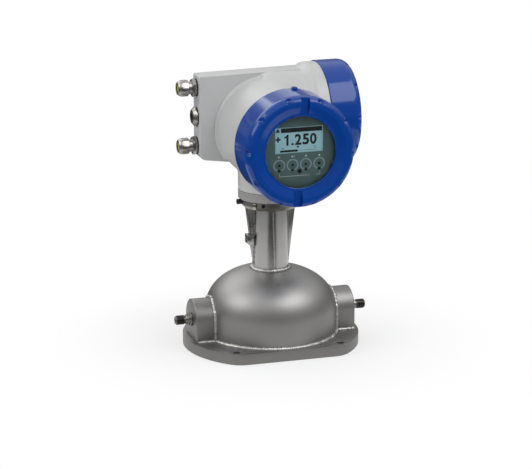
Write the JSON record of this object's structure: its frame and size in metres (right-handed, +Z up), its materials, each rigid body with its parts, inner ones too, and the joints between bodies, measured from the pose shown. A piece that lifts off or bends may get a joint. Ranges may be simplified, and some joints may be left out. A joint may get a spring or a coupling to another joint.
{
  "type": "coriolis flow meter",
  "caption": "Coriolis mass flow meter: domed stainless sensor on a bolt-down plate, short neck, and a cast converter with display and terminal covers.",
  "frame": {"origin": "centre of the base plate's underside", "axes": "+Z up the neck, +X along the flow from inlet to outlet, display faces -Y"},
  "size_m": [0.245, 0.2205, 0.3435],
  "materials": {
    "blasted_steel": "bead blasted stainless steel",
    "neck_steel": "brushed stainless steel",
    "turned_steel": "turned stainless steel",
    "weld": "bright weld metal",
    "bright_steel": "bright stainless steel",
    "black_steel": "blackened steel",
    "copper_wire": "enamelled copper wire",
    "housing_white": "light grey powder coat on die-cast aluminium",
    "adapter_grey": "light grey powder coat",
    "cover_blue": "blue powder coat on die-cast aluminium",
    "nickel": "nickel plated brass",
    "black_plastic": "moulded black plastic",
    "face_grey": "printed slate grey film",
    "lcd": "liquid crystal panel",
    "board_green": "circuit board",
    "terminal_green": "moulded terminal block",
    "black_rubber": "black rubber",
    "lime_rubber": "yellow green rubber",
    "window": "toughened glass"
  },
  "bodies": {
    "sensor": {"base_plate": "blasted_steel", "dome_shell": "blasted_steel", "inlet_block": "blasted_steel", "outlet_block": "blasted_steel", "inlet_fitting": "turned_steel", "outlet_fitting": "turned_steel", "weld_beads": "weld", "measuring_tube": "bright_steel", "tube_frame": "blasted_steel", "coil_bridge": "bright_steel", "drive_coil": "copper_wire", "drive_magnet": "black_steel", "pickup_coils": "copper_wire", "pickup_magnets": "black_steel", "temperature_sensor": "bright_steel", "feedthrough": "bright_steel", "neck_column": "neck_steel", "neck_collar": "neck_steel", "earth_lug": "neck_steel", "clamp_screws": "bright_steel", "recessed_screws": "black_steel", "swivel_stop": "bright_steel"},
    "converter": {"adapter_ring": "adapter_grey", "converter_housing": "housing_white", "electronics_module": "black_plastic", "display_board": "board_green", "display_unit": "black_plastic", "display_face": "face_grey", "lcd_panel": "lcd", "terminal_carrier": "board_green", "terminal_block": "terminal_green", "terminal_screws": "bright_steel", "upper_gland_body": "nickel", "lower_gland_body": "nickel", "gland_gaskets": "black_rubber", "blanking_plug": "nickel", "plug_gasket": "black_rubber"},
    "display_seal": {"front_seal": "black_rubber"},
    "display_cover": {"front_cover": "cover_blue", "window_gasket": "black_rubber", "window_glass": "window", "window_ring": "black_plastic", "cover_lock_screw": "black_steel"},
    "compartment_seal": {"terminal_seal": "black_rubber"},
    "compartment_cover": {"terminal_cover": "cover_blue"},
    "upper_seal": {"upper_gland_seal": "lime_rubber"},
    "upper_cap": {"upper_gland_cap": "nickel"},
    "lower_seal": {"lower_gland_seal": "lime_rubber"},
    "lower_cap": {"lower_gland_cap": "nickel"}
  },
  "joints": [
    {"name": "converter_swivel", "type": "hinge", "parent": "sensor", "child": "converter", "pos_m": [0, 0, 0.185], "axis": [0, 0, 1], "range_deg": [-170, 170]},
    {"name": "display_cover_travel", "type": "slide", "parent": "converter", "child": "display_seal", "axis": [0, -1, 0], "range_m": [0, 0.0101]},
    {"name": "display_cover_turn", "type": "hinge", "parent": "display_seal", "child": "display_cover", "pos_m": [0, -0.073, 0.2675], "axis": [0, -1, 0], "range_deg": [0, 1800]},
    {"name": "terminal_cover_travel", "type": "slide", "parent": "converter", "child": "compartment_seal", "axis": [1, 0, 0], "range_m": [0, 0.0101]},
    {"name": "terminal_cover_turn", "type": "hinge", "parent": "compartment_seal", "child": "compartment_cover", "pos_m": [0.068, 0.03, 0.279], "axis": [1, 0, 0], "range_deg": [0, 1800]},
    {"name": "upper_gland_travel", "type": "slide", "parent": "converter", "child": "upper_seal", "axis": [-1, 0, 0], "range_m": [0, 0.0046]},
    {"name": "upper_gland_turn", "type": "hinge", "parent": "upper_seal", "child": "upper_cap", "pos_m": [-0.0945, 0.0335, 0.3195], "axis": [-1, 0, 0], "range_deg": [0, 1080]},
    {"name": "lower_gland_travel", "type": "slide", "parent": "converter", "child": "lower_seal", "axis": [-1, 0, 0], "range_m": [0, 0.0046]},
    {"name": "lower_gland_turn", "type": "hinge", "parent": "lower_seal", "child": "lower_cap", "pos_m": [-0.0945, 0.0335, 0.2475], "axis": [-1, 0, 0], "range_deg": [0, 1080]}
  ],
  "couplings": [
    {"joint": "display_cover_travel", "follows": "display_cover_turn", "m_per_rad": 0.00031831},
    {"joint": "terminal_cover_travel", "follows": "terminal_cover_turn", "m_per_rad": 0.00031831},
    {"joint": "upper_gland_travel", "follows": "upper_gland_turn", "m_per_rad": 0.00023873},
    {"joint": "lower_gland_travel", "follows": "lower_gland_turn", "m_per_rad": 0.00023873}
  ]
}
